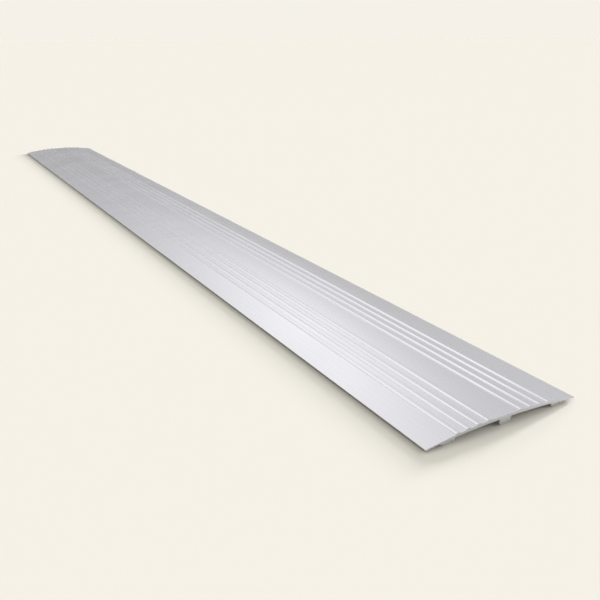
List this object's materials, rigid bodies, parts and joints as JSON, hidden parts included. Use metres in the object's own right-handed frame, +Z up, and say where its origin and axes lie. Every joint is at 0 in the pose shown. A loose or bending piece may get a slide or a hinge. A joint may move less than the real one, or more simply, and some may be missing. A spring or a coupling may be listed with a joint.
{
  "type": "threshold ramp",
  "caption": "Long low aluminium threshold ramp: an extruded plate arched across its width, with lengthwise grip ribs and thin rounded edges, lying on rubber strips over a sill or floor joint.",
  "frame": {"origin": "on the floor under the middle of the deck", "axes": "+X along the doorway, the length of the deck; +Y the way over the ramp, from the front edge to the rear edge; +Z up"},
  "size_m": [1, 0.1, 0.006],
  "materials": {
    "satin_aluminium": "satin anodised, fine lengthwise die lines",
    "grey_rubber": "matt light grey rubber",
    "adhesive_tape": "off-white double-sided tape"
  },
  "bodies": {
    "root": {"deck_profile": "satin_aluminium", "front_grip_strip": "grey_rubber", "centre_grip_strip": "grey_rubber", "rear_grip_strip": "grey_rubber", "front_strip_tape": "adhesive_tape", "centre_strip_tape": "adhesive_tape", "rear_strip_tape": "adhesive_tape"}
  },
  "joints": []
}
